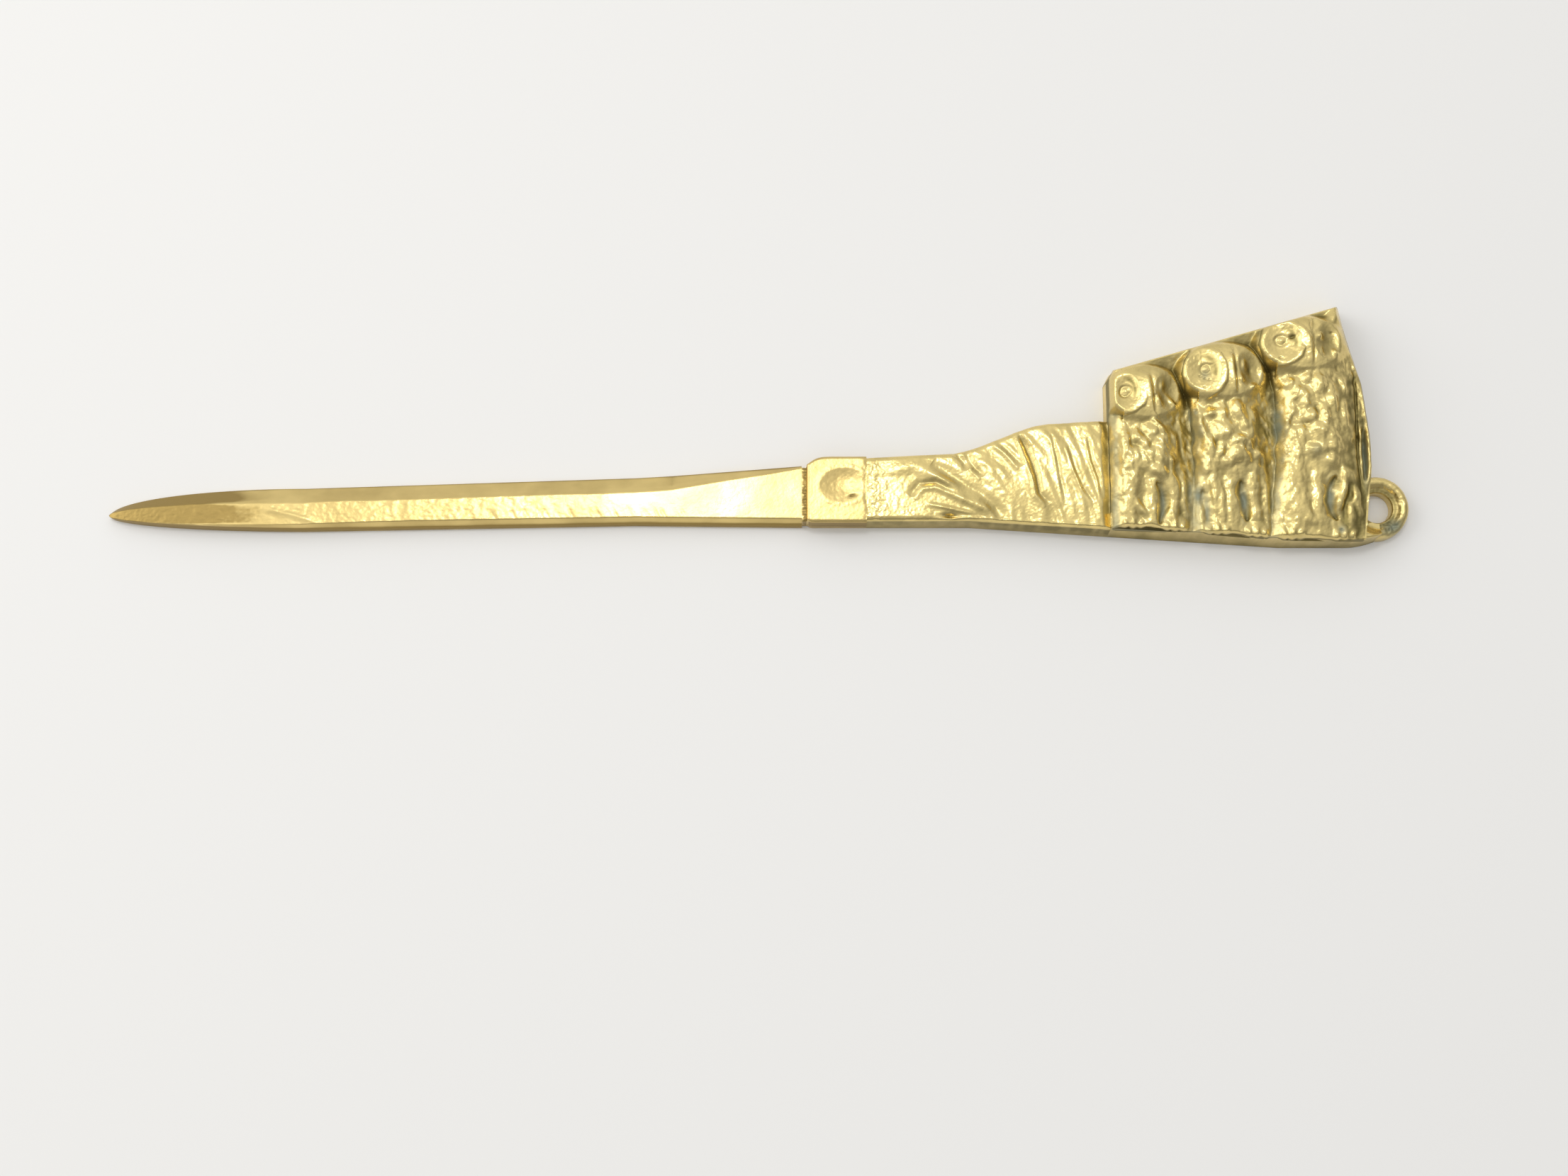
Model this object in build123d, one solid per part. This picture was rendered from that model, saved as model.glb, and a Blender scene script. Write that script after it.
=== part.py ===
from build123d import *
import os
from math import cos, radians, sin, sqrt

# Cast brass letter opener, lying on its flat back. From the point to the far end it has a
# bevelled blade with a hidden tang, a bolster with a thumb dish, a bark grip, and a back plate
# that carries three owls on a perch and a hanging loop.
# X runs from the point to the loop, Y towards the owls' heads and Z out of the relief.
# Working coordinates start at the blade's shoulder, on the bolster's lower edge and at the back.
# All sizes are in millimetres and all angles in degrees.

# Blade
blade_length = 112.4
blade_root_width = 9.8
blade_waist_width = 7.9
blade_belly_width = 7.1
blade_thickness = 2.7
flare_length = 27.0
waist_rise = 0.3
belly_drop = 0.65
point_length = 32.0
point_rise = 1.8
point_thickness = 1.1
point_stations = 9
edge_bevel_width = 2.7
edge_land = 0.5
bevel_runout = 20.0
spine_bevel_width = 1.0
spine_land = 0.9

# Tang, brazed into the bolster and the grip
tang_length = 24.0
tang_width = 5.0
tang_thickness = 1.2
tang_rise = 0.5
braze_gap = 0.05

# Bolster
neck_length = 1.1
neck_inset = 0.35
neck_thickness = 2.3
bolster_length = 9.3
bolster_width = 11.1
bolster_thickness = 4.2
bolster_corner = 1.2
bolster_corner_length = 3.0
bolster_edge = 0.6
dish_length = 7.8
dish_width = 5.9
dish_depth = 0.8
dish_from_edge = 6.3

# Bark grip
grip_length = 39.0
grip_end_width = 18.7
grip_thickness = 5.0
grip_swell_start = 13.0
grip_swell_length = 17.0
grip_swell_rise = 4.1
grip_edge = 1.1
grip_stations = 14
groove_depth = 0.7
# Middle of each bark groove from the grip's start and from its lower edge, length, lean from X
bark_grooves = (
    (12.5, 8.3, 8.5, -25),
    (15.0, 4.6, 7.0, -20),
    (15.5, 2.2, 5.0, -6),
    (18.0, 9.3, 10.0, -38),
    (20.0, 6.2, 9.5, -35),
    (26.5, 10.6, 11.5, -72),
    (31.8, 8.6, 9.5, -70),
    (35.6, 9.5, 10.0, -76),
)

# Base line of the handle, which drops towards the loop
drop_start = 27.0
drop_slope = 0.066
drop_length = 50.0

# Back plate
plate_length = 42.9
plate_thickness = 3.0
plate_left_top = 23.6
plate_corner = 2.0
plate_tip_height = 36.4
plate_tip_inset = 4.6
plate_side_bulge = 1.1
plate_draft = 0.9

# Perch
perch_depth = 3.0
perch_thickness = 5.0
perch_edge = 1.3
perch_end_gap = 1.9

# Hanging loop
loop_radius = 5.2
loop_bore_radius = 2.4
loop_overhang = 0.5
loop_rim = 0.7

# Owls
owl_width_small = 12.2
owl_width_middle = 13.3
owl_width_large = 13.9
relief_small = 5.4
relief_middle = 5.8
relief_large = 6.2
head_rise_small = 20.3
head_rise_middle = 23.8
head_rise_large = 28.5
head_height_small = 7.4
head_height_middle = 8.8
head_height_large = 8.6
breast_end_small = 7.0
breast_end_middle = 8.8
breast_end_large = 10.6
dome_sides = 8
disc_share = 0.94
disc_rim = 0.35
disc_dish = 0.7
eye_radius = 0.75
beak_width = 1.6
beak_rise = 0.6
toe_count = 3
toe_pitch = 1.5
toe_width = 1.3
toe_length = 1.7
toe_rise = 0.7
tail_groove_width = 1.8

# Places that follow from the sizes above
block_start = neck_length
grip_start = block_start + bolster_length
plate_start = grip_start + grip_length
plate_end = plate_start + plate_length
drop_end = drop_start + drop_length
ground = plate_thickness
loop_x = plate_end + loop_overhang
very_tall = 4 * (plate_thickness + relief_large)


def section(x, low, high, thickness, low_bevel, high_bevel, low_land, high_land):
    # A flat-backed section across the length, bevelled down to a land at either edge
    outline = (
        (low, 0),
        (high, 0),
        (high, high_land),
        (high - high_bevel, thickness),
        (low + low_bevel, thickness),
        (low, low_land),
    )
    return Plane.YZ.offset(x) * Polygon(*outline, align=None)


def between(start, end, share):
    return start + (end - start) * share


def ease(share):
    inside = min(max(share, 0), 1)
    return inside * inside * (3 - 2 * inside)


def block(x_span, y_span, z_span):
    low, high = zip(x_span, y_span, z_span)
    size = [b - a for a, b in zip(low, high)]
    return Pos(*low) * Box(*size, align=(Align.MIN, Align.MIN, Align.MIN))


def base_line(x):
    return -drop_slope * min(max(x - drop_start, 0), drop_length)


def grip_top(x):
    share = (x - grip_start) / grip_length
    straight = between(bolster_width, grip_end_width + base_line(plate_start) - grip_swell_rise, share)
    return straight + grip_swell_rise * ease((x - grip_start - grip_swell_start) / grip_swell_length)


def tang(gap):
    middle = blade_root_width / 2
    return block(
        (-gap, tang_length + gap),
        (middle - tang_width / 2 - gap, middle + tang_width / 2 + gap),
        (tang_rise - gap, tang_rise + tang_thickness + gap),
    )


def blade_section(x):
    waist_x = -flare_length
    belly_x = point_length - blade_length
    from_point = x + blade_length
    if x > waist_x:
        share = (x - waist_x) / flare_length
        low = between(waist_rise, 0, share)
        width = between(blade_waist_width, blade_root_width, share)
    else:
        share = (max(x, belly_x) - belly_x) / (waist_x - belly_x)
        low = between(-belly_drop, waist_rise, share)
        width = between(blade_belly_width, blade_waist_width, share)
    fullness = sqrt(1 - (1 - min(from_point / point_length, 1)) ** 2)
    runout = min(-x / bevel_runout, 1)
    high = point_rise + (low + width - point_rise) * fullness
    low = point_rise + (low - point_rise) * fullness
    thickness = between(point_thickness, blade_thickness, fullness)
    edge_bevel = between(bolster_edge, edge_bevel_width, runout) * fullness
    land = between(thickness - edge_land, edge_land, runout)
    return section(x, low, high, thickness, spine_bevel_width * fullness, edge_bevel, spine_land, land)


def make_blade():
    belly_x = point_length - blade_length
    shares = [(step / point_stations) ** 2 for step in range(1, point_stations)]
    stations = [point_length * share - blade_length for share in shares]
    stations += [belly_x, -flare_length, -bevel_runout, -bevel_runout / 2, 0]
    body = loft([blade_section(x) for x in stations], ruled=True)
    return body + tang(0)


def make_bolster():
    neck_section = (neck_inset, blade_root_width - neck_inset, neck_thickness)
    edges = (bolster_edge, bolster_edge, neck_thickness - bolster_edge, neck_thickness - bolster_edge)
    neck = loft([section(x, *neck_section, *edges) for x in (0, block_start)], ruled=True)
    land = bolster_thickness - bolster_edge
    edges = (bolster_edge, bolster_edge, land, land)
    corner_x = (0, bolster_corner_length / 3, bolster_corner_length, bolster_length)
    corner_drop = (bolster_corner, bolster_corner / 3, 0, 0)
    sections = []
    for x, drop in zip(corner_x, corner_drop):
        sections.append(section(block_start + x, 0, bolster_width - drop, bolster_thickness, *edges))
    dish = scale(Sphere(1), by=(dish_length / 2, dish_width / 2, dish_depth))
    dish_x = block_start + bolster_length / 2
    body = neck + loft(sections, ruled=True)
    return body - Pos(dish_x, dish_from_edge, bolster_thickness) * dish - tang(braze_gap)


def make_grip():
    sections = []
    for step in range(grip_stations + 1):
        x = grip_start + grip_length * step / grip_stations
        thickness = between(bolster_thickness, grip_thickness, step / grip_stations)
        land = thickness - grip_edge
        sections.append(section(x, base_line(x), grip_top(x), thickness, grip_edge, grip_edge, land, land))
    body = loft(sections, ruled=True)
    for along, across, length, lean in bark_grooves:
        x = grip_start + along
        top = between(bolster_thickness, grip_thickness, along / grip_length)
        y = base_line(x) + across
        side = groove_depth * sqrt(2)
        body -= Pos(x, y, top) * Rot(0, 0, lean) * Rot(45, 0, 0) * Box(length, side, side)
    return body - tang(braze_gap)


def plate_face(inset):
    bottom = base_line(plate_end) + perch_depth
    left_bottom = (plate_start, base_line(plate_start) + perch_depth)
    left_top = (plate_start, plate_left_top)
    corner = (plate_start + plate_corner / 2, plate_left_top + plate_corner - inset)
    tip = (plate_end - plate_tip_inset - inset, plate_tip_height - inset)
    waist = (plate_end - plate_side_bulge - inset, between(bottom, plate_tip_height, 0.6))
    foot = (plate_end - inset, bottom)
    knee = (drop_end, bottom)
    sides = Polyline(foot, knee, left_bottom, left_top, corner, tip)
    return make_face([sides, ThreePointArc(tip, waist, foot)])


def loop_disc(height):
    middle = (loop_x, base_line(plate_end) + loop_radius + loop_overhang * 2)
    return Pos(*middle) * Cylinder(loop_radius, height, align=(Align.CENTER, Align.CENTER, Align.MIN))


def make_plate():
    top = Pos(0, 0, plate_thickness) * plate_face(plate_draft)
    return loft([plate_face(0), top], ruled=True) - loop_disc(very_tall)


def make_perch():
    land = perch_thickness - perch_edge
    edges = (perch_edge, 0, land, perch_thickness)
    sections = []
    for x in (plate_start, drop_end, plate_end - perch_end_gap):
        low = base_line(x)
        sections.append(section(x, low, low + perch_depth, perch_thickness, *edges))
    return loft(sections, ruled=True) - loop_disc(very_tall)


def make_loop():
    disc = loop_disc(plate_thickness)
    rims = disc.edges().filter_by(GeomType.CIRCLE).group_by(Axis.Z)[-1]
    ring = fillet(rims, loop_rim)
    middle = disc.center()
    return ring - Pos(middle.X, middle.Y) * Cylinder(loop_bore_radius, very_tall)


def ridge(x, half_width, y_span, low, high):
    # A straight ridge along Y with a roof-shaped section
    outline = ((x - half_width, low), (x + half_width, low), (x, high))
    ends = [Plane.XZ.offset(-y) * Polygon(*outline, align=None) for y in y_span]
    return loft(ends, ruled=True)


def dome_section(axis, y, half, height):
    # A flat-bottomed half round across an owl
    angles = [180 * step / dome_sides for step in range(dome_sides + 1)]
    outline = [(axis + half * cos(radians(a)), ground + height * sin(radians(a))) for a in angles]
    return Plane.XZ.offset(-y) * Polygon(*outline, align=None)


def make_owl(left, width, relief, head, head_height, breast_end, perch):
    half = width / 2
    axis = left + half
    foot = base_line(axis) + perch_depth
    neck = head - head_height / 2
    rows = (
        (foot, 0.94, 0.72),
        (breast_end, 1.0, 0.9),
        ((breast_end + neck) / 2, 1.0, 1.0),
        (neck, 0.9, 0.8),
        (head, 1.0, 0.9),
        (head + head_height / 2, 0.95, 0.55),
    )
    body = loft([dome_section(axis, y, half * wide, relief * tall) for y, wide, tall in rows], ruled=True)
    top = ground + relief
    beak_span = (neck + head_height / 8, head + head_height / 4)
    body += ridge(axis, beak_width / 2, beak_span, ground, top + beak_rise)
    for side in (-1, 1):
        eye_x = axis + side * half / 2
        disc_radius = half * disc_share / 2
        body += Pos(eye_x, head, ground + relief / 2) * Cylinder(disc_radius, relief)
        dish_radius = (disc_radius - disc_rim) ** 2 / (2 * disc_dish) + disc_dish / 2
        body -= Pos(eye_x, head, top + dish_radius - disc_dish) * Sphere(dish_radius)
        body += Pos(eye_x, head, top - disc_dish) * Sphere(eye_radius)
        for toe in range(toe_count):
            toe_x = axis + side * half / 2 + (toe - (toe_count - 1) / 2) * toe_pitch
            toe_span = (foot - toe_length, breast_end)
            body += ridge(toe_x, toe_width / 2, toe_span, ground, perch_thickness + toe_rise)
    tail_groove = block(
        (axis - tail_groove_width / 2, axis + tail_groove_width / 2),
        (foot - perch_depth, breast_end - 1),
        (ground + relief * 0.4, very_tall),
    )
    return body - tail_groove - perch


def make_pieces():
    perch = make_perch()
    middle_left = plate_start + owl_width_small
    large_left = middle_left + owl_width_middle
    owl_sizes = {
        "small_owl": (
            plate_start,
            owl_width_small,
            relief_small,
            head_rise_small,
            head_height_small,
            breast_end_small,
        ),
        "middle_owl": (
            middle_left,
            owl_width_middle,
            relief_middle,
            head_rise_middle,
            head_height_middle,
            breast_end_middle,
        ),
        "large_owl": (
            large_left,
            owl_width_large,
            relief_large,
            head_rise_large,
            head_height_large,
            breast_end_large,
        ),
    }
    pieces = {
        "blade": make_blade(),
        "bolster": make_bolster(),
        "bark_grip": make_grip(),
        "back_plate": make_plate(),
        "perch": perch,
        "hanging_loop": make_loop(),
    }
    for name, sizes in owl_sizes.items():
        pieces[name] = make_owl(*sizes, perch)
    return pieces


pieces = make_pieces()
box = Compound(children=[Part(piece.wrapped) for piece in pieces.values()]).bounding_box()
origin = Vector(box.center().X, box.center().Y, box.min.Z)
os.makedirs("parts", exist_ok=True)
for name, piece in pieces.items():
    export_step(Pos(-origin) * piece, f"parts/{name}.step")
print("size", box.size, "origin from the shoulder", origin)
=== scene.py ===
import math

import bmesh
import bpy
import numpy as np
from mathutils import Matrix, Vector


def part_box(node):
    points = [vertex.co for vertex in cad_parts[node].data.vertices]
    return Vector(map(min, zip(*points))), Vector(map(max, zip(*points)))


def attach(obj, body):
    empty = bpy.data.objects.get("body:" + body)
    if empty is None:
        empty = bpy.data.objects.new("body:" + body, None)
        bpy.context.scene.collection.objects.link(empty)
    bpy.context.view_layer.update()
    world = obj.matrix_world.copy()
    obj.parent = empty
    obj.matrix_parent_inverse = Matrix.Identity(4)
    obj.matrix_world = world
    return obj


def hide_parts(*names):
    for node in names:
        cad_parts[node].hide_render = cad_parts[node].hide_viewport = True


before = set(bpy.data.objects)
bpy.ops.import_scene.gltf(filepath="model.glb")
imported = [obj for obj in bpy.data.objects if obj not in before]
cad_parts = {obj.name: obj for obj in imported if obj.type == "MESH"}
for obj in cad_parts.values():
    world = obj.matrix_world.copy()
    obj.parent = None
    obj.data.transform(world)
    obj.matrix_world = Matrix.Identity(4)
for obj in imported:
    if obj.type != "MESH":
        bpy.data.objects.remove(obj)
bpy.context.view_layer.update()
bpy.context.scene.view_settings.view_transform = "Standard"
print("frame loaded", len(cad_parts), "nodes")

# Sketch coordinates are millimetres from the blade's shoulder, at the bolster's lower back corner:
# x towards the loop, y towards the owls' heads, z out of the relief.
mm = 0.001
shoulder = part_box("bolster")[0]


def toLinear(hexColour):
    parts = [int(hexColour[i : i + 2], 16) / 255 for i in (1, 3, 5)]
    linear = [c / 12.92 if c <= 0.04045 else ((c + 0.055) / 1.055) ** 2.4 for c in parts]
    return (*linear, 1.0)


def ease(start, end, x):
    # from 0 at start to 1 at end, without a kink
    t = np.clip((x - start) / (end - start), 0, 1)
    return t * t * (3 - 2 * t)


noiseCells = 97  # on a side, before a pattern repeats
noiseOrigin = (31.7, 17.3)


def noise(x, y, size, seed):
    # smooth lumps of about that size in mm, from -1 to 1
    cells = np.random.default_rng(seed).uniform(-1, 1, (noiseCells, noiseCells))
    gx, gy = x / size + noiseOrigin[0], y / size + noiseOrigin[1]
    ix, iy = np.floor(gx).astype(int), np.floor(gy).astype(int)
    fx, fy = gx - ix, gy - iy
    fx, fy = fx * fx * (3 - 2 * fx), fy * fy * (3 - 2 * fy)
    column, nextColumn = ix % noiseCells, (ix + 1) % noiseCells
    row, nextRow = iy % noiseCells, (iy + 1) % noiseCells
    a, b = cells[column, row], cells[nextColumn, row]
    c, d = cells[column, nextRow], cells[nextColumn, nextRow]
    return (a + (b - a) * fx) * (1 - fy) + (c + (d - c) * fx) * fy


def bumps(x, y, wide, tall, seed):
    # flat-topped bumps scattered about that far apart, from 0 to 1
    places = np.random.default_rng(seed).uniform(0, 1, (3, noiseCells, noiseCells))
    u, v = x / wide + noiseOrigin[0], y / tall + noiseOrigin[1]
    column, row = np.floor(u).astype(int), np.floor(v).astype(int)
    total = np.zeros(x.shape)
    for i in (-1, 0, 1):
        for j in (-1, 0, 1):
            across, up, size = places[:, (column + i) % noiseCells, (row + j) % noiseCells]
            away = (u - column - i - across) ** 2 + (v - row - j - up) ** 2
            total = total + (0.5 + size) * np.exp(-away / 0.16)
    return 1 - np.exp(-1.5 * total)


def bell(x, middle, width, power=2):
    # 1 in the middle, fading out on both sides, more squarely with more power
    return np.exp(-(((x - middle) / width) ** power))


def castSkin(x, y, seed, depth):
    # the slightly lumpy, sandy skin that the mould leaves
    lumps = 0.6 * noise(x, y, 1.3, seed) + 0.5 * noise(x, y, 0.6, seed + 1)
    return depth * (lumps + 0.35 * noise(x, y, 0.28, seed + 2))


def oval(x, y, middle, half, lean=0):
    # 0 in the middle of an oval, 1 on its rim
    c, s = math.cos(math.radians(lean)), math.sin(math.radians(lean))
    dx, dy = x - middle[0], y - middle[1]
    return np.hypot((dx * c + dy * s) / half[0], (dy * c - dx * s) / half[1])


def dome(x, y, middle, half, power):
    # 1 in the middle of an oval, and 0 from its rim outwards
    r = oval(x, y, middle, half)
    return np.clip(1 - r**power, 0, None) ** (1 / power)


def lump(x, y, middle, half, lean=0):
    # 1 in the middle of an oval, fading out past its rim
    return np.exp(-1.4 * oval(x, y, middle, half, lean) ** 2)


def fromLine(x, y, points):
    # distance from a line of points, which side it is on, and the share of the way along
    best = np.full(x.shape, 1e9)
    side = np.zeros(x.shape)
    share = np.zeros(x.shape)
    lengths = [math.dist(a, b) for a, b in zip(points, points[1:])]
    done = 0.0
    for (ax, ay), (bx, by), length in zip(points, points[1:], lengths):
        ux, uy = (bx - ax) / length, (by - ay) / length
        t = np.clip((x - ax) * ux + (y - ay) * uy, 0, length)
        dx, dy = x - ax - t * ux, y - ay - t * uy
        d = np.hypot(dx, dy)
        near = d < best
        best = np.where(near, d, best)
        side = np.where(near, ux * dy - uy * dx, side)
        share = np.where(near, (done + t) / sum(lengths), share)
        done += length
    return best, side, share


def stroke(x, y, points, width):
    # 1 along a line of points, fading to nothing at its sides and ends
    d, _, share = fromLine(x, y, points)
    return bell(d, 0, width) * np.sqrt(np.clip(4 * share * (1 - share), 0, 1) + 0.05)


def quarterRound(fromEdge, radius):
    # height of a rounded edge of that radius
    inside = radius - np.clip(fromEdge, 0, radius)
    return np.sqrt(np.clip(radius * radius - inside**2, 0, None))


def softMax(a, b, soft):
    return soft * np.logaddexp(a / soft, b / soft)


def softMin(a, b, soft):
    return -softMax(-a, -b, soft)


def blur(z, reach):
    # mean of the heights that many points around
    out = z
    for axis in (0, 1):
        margins = [(reach, reach) if k == axis else (0, 0) for k in (0, 1)]
        padded = np.pad(out, margins, mode="edge")
        total = np.cumsum(np.insert(padded, 0, 0, axis), axis)
        n = out.shape[axis]
        high = np.take(total, np.arange(2 * reach + 1, 2 * reach + 1 + n), axis)
        out = (high - np.take(total, np.arange(n), axis)) / (2 * reach + 1)
    return out


sharpAngle = 55  # edges sharper than this stay crisp


def addMesh(name, points, faces, hollowAndShade, film, finish, node, slotName):
    mesh = bpy.data.meshes.new(name)
    mesh.from_pydata([tuple(p) for p in points], [], faces)
    for label, values in (("hollowAndShade", hollowAndShade), ("film", film)):
        layer = mesh.attributes.new(label, "FLOAT", "POINT")
        layer.data.foreach_set("value", np.asarray(values, dtype=np.float32))
    work = bmesh.new()
    work.from_mesh(mesh)
    bmesh.ops.recalc_face_normals(work, faces=work.faces)
    work.to_mesh(mesh)
    work.free()
    mesh.shade_smooth()
    mesh.set_sharp_from_angle(angle=math.radians(sharpAngle))
    mesh.materials.append(finish)
    piece = bpy.data.objects.new(name, mesh)
    bpy.context.scene.collection.objects.link(piece)
    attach(piece, "root")
    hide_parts(node)
    print("made", name, len(mesh.polygons), "faces")


def reliefPiece(sketch, runs, edges, insets, heights, finish, film=None, along="x", place=None):
    # A flat-backed relief: runs go along it, edges are its two outlines on the back, insets are how
    # far the walls lean in, and heights gives the top. Its columns crowd towards the walls.
    low, high = edges
    count = sketch["columns"]
    t = np.linspace(0, 1, count)
    t = t - sketch.get("crowd", 0.6) * np.sin(2 * np.pi * t) / (2 * np.pi)
    start, end = low + insets[0], high - insets[1]
    across = start[:, None] + (end - start)[:, None] * t[None, :]
    run = np.repeat(runs[:, None], count, 1)
    x, y = (run, across) if along == "x" else (across, run)
    foot = np.stack([low, high], 1)
    footRun = np.repeat(runs[:, None], 2, 1)
    fx, fy = (footRun, foot) if along == "x" else (foot, footRun)
    if place:
        y = place(x, y)
        fy = place(fx, fy)
    floor = sketch.get("floor", 0.0)
    z = np.maximum(heights(x, y), floor + 0.05)
    reach = sketch.get("hollowReach", 6)  # points around that a hollow is measured against
    hollowAndShade = blur(blur(z, reach), reach) - z
    # tarnish measured in the hollows, plus each piece's own darkening: towards the blade's point,
    # and painted shade on the birds
    if "darkening" in sketch:
        hollowAndShade = hollowAndShade + sketch["darkening"](x, y)
    patch = film(x, y) if film else np.zeros(z.shape)
    n, m = z.shape
    top = np.stack([x, y, z], 2).reshape(-1, 3)
    base = np.stack([fx, fy, np.full(fx.shape, floor)], 2).reshape(-1, 3)
    points = np.concatenate([top, base]) * mm + np.array(shoulder)
    grid = np.arange(n * m).reshape(n, m)
    under = n * m + np.arange(n * 2).reshape(n, 2)
    quads = np.stack([grid[:-1, :-1], grid[1:, :-1], grid[1:, 1:], grid[:-1, 1:]], 2).reshape(-1, 4)
    walls = [
        np.stack([under[:-1, 0], under[1:, 0], grid[1:, 0], grid[:-1, 0]], 1),
        np.stack([grid[:-1, -1], grid[1:, -1], under[1:, 1], under[:-1, 1]], 1),
        np.stack([under[:-1, 1], under[1:, 1], under[1:, 0], under[:-1, 0]], 1),
    ]
    faces = quads.tolist() + np.concatenate(walls).tolist()
    faces.append([int(under[0, 0]), *grid[0].tolist(), int(under[0, 1])])
    faces.append([int(under[-1, 1]), *grid[-1][::-1].tolist(), int(under[-1, 0])])
    # painted shade: each wall darkens towards its foot, standing in for a darker reflection
    footPaintedShade = np.full(2 * n, sketch.get("wallPaintedShade", 0.0))
    addMesh(
        sketch["name"],
        points,
        faces,
        np.concatenate([hollowAndShade.reshape(-1), footPaintedShade]),
        np.concatenate([patch.reshape(-1), 0 * footPaintedShade]),
        finish,
        sketch["node"],
        sketch["slot"],
    )


def addNode(tree, kind, settings=None, links=None, **values):
    node = tree.nodes.new(kind)
    for key, value in (settings or {}).items():
        setattr(node, key, value)
    for key, value in values.items():
        node.inputs[key.replace("_", " ")].default_value = value
    for key, socket in (links or {}).items():
        tree.links.new(socket, node.inputs[key])
    return node


patina = {
    "cloudRange": (0.35, 0.7),  # of the noise, where the mottling starts and is full
    "bloomGain": 1.7,
    "bloomRough": 0.62,
    "bloomMetal": 0.35,  # how metallic the bloom is where it is thickest
}


def brass(name, look):
    # Copper and zinc alloy, cast in sand and rubbed bright: a warm straw-yellow mirror on the high
    # places, dull olive-brown tarnish in the hollows, the same olive-brown as painted shade at the
    # foot of walls and on the birds' shaded sides, and a grey-green bloom where damp has sat.
    material = bpy.data.materials.new(name)
    material.use_nodes = True
    tree = material.node_tree
    shader = tree.nodes["Principled BSDF"]
    shader.inputs["Metallic"].default_value = 1.0
    place = addNode(tree, "ShaderNodeTexCoord").outputs["Object"]
    hollowAndShade = addNode(tree, "ShaderNodeAttribute", {"attribute_name": "hollowAndShade"}).outputs["Fac"]
    film = addNode(tree, "ShaderNodeAttribute", {"attribute_name": "film"}).outputs["Fac"]
    cloud, pits = [
        addNode(
            tree, "ShaderNodeTexNoise", links={"Vector": place},
            Scale=1 / (look[size] * mm), Detail=detail,
        ).outputs["Fac"]
        for size, detail in (("cloudSize", 3.0), ("pitSize", 2.0))
    ]
    # share of tarnish from the hollows, and of painted shade where the mesh carries it
    wornAndShaded = addNode(
        tree, "ShaderNodeMapRange", {"interpolation_type": "SMOOTHSTEP"}, {"Value": hollowAndShade},
        From_Min=look["brightBelow"], From_Max=look["dullAbove"], To_Min=0.0, To_Max=1.0,
    ).outputs["Result"]
    cloudLow, cloudHigh = patina["cloudRange"]
    mottled = addNode(
        tree, "ShaderNodeMapRange", {}, {"Value": cloud},
        From_Min=cloudLow, From_Max=cloudHigh, To_Min=0.0, To_Max=look["mottle"],
    ).outputs["Result"]
    tarnishAndShade = addNode(
        tree, "ShaderNodeMath", {"operation": "ADD", "use_clamp": True}, {0: wornAndShaded, 1: mottled}
    ).outputs[0]
    metal = addNode(tree, "ShaderNodeMix", {"data_type": "RGBA"}, {0: tarnishAndShade})
    metal.inputs[6].default_value = toLinear(look["bright"])
    metal.inputs[7].default_value = toLinear(look["tarnishedAndShaded"])
    times = {"operation": "MULTIPLY", "use_clamp": True}
    clouded = addNode(tree, "ShaderNodeMath", times, {0: film, 1: cloud}).outputs[0]
    gained = addNode(tree, "ShaderNodeMath", times, {0: clouded})
    gained.inputs[1].default_value = patina["bloomGain"]
    bloom = gained.outputs[0]
    colour = addNode(tree, "ShaderNodeMix", {"data_type": "RGBA"}, {0: bloom, 6: metal.outputs[2]})
    colour.inputs[7].default_value = toLinear(look["bloom"])
    tree.links.new(colour.outputs[2], shader.inputs["Base Color"])
    dull = addNode(
        tree, "ShaderNodeMapRange", {}, {"Value": tarnishAndShade},
        From_Min=0.0, From_Max=1.0, To_Min=look["roughBright"], To_Max=look["roughDull"],
    ).outputs["Result"]
    rough = addNode(
        tree, "ShaderNodeMapRange", {}, {"Value": bloom, "To Min": dull},
        To_Max=patina["bloomRough"],
    )
    tree.links.new(rough.outputs["Result"], shader.inputs["Roughness"])
    bare = addNode(
        tree, "ShaderNodeMapRange", {}, {"Value": bloom}, To_Min=1.0, To_Max=patina["bloomMetal"]
    )
    tree.links.new(bare.outputs["Result"], shader.inputs["Metallic"])
    bump = addNode(
        tree, "ShaderNodeBump", {}, {"Height": pits},
        Strength=look["pitStrength"], Distance=look["pitDepth"] * mm,
    )
    tree.links.new(bump.outputs["Normal"], shader.inputs["Normal"])
    return material


polishedBrass = brass(
    "polishedBrass",
    {
        "bright": "#E5CB86",
        "tarnishedAndShaded": "#A08850",
        "bloom": "#8E8A5C",
        "cloudSize": 7.0,  # mm, patches of tarnish
        "pitSize": 0.45,  # mm, grains of the moulding sand
        "pitDepth": 0.03,
        "pitStrength": 0.5,
        "mottle": 0.4,
        "brightBelow": 0.0,
        "dullAbove": 0.12,
        "roughBright": 0.28,
        "roughDull": 0.42,
    },
)
castBrass = brass(
    "castBrass",
    {
        "bright": "#ECD48D",
        "tarnishedAndShaded": "#8A7D4C",
        "bloom": "#8F927A",
        "cloudSize": 3.0,
        "pitSize": 0.4,
        "pitDepth": 0.05,
        "pitStrength": 0.3,
        "mottle": 0.3,
        "brightBelow": -0.02,
        "dullAbove": 0.55,
        "roughBright": 0.24,
        "roughDull": 0.5,
    },
)
print("materials made")

handle = {
    "dropStart": 27.0,  # where the lower edge starts to slope down
    "dropSlope": 0.066,
    "dropLength": 50.0,
    "gripStart": 10.4,
    "plateStart": 49.4,
    "ground": 3.0,  # front of the back plate
    "perchDepth": 3.0,
    "loopMiddle": (92.8, 2.9),
    "loopRadius": 5.2,
}


def baseLine(x):
    # lower edge of the grip and the perch
    return -handle["dropSlope"] * np.clip(x - handle["dropStart"], 0, handle["dropLength"])


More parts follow.
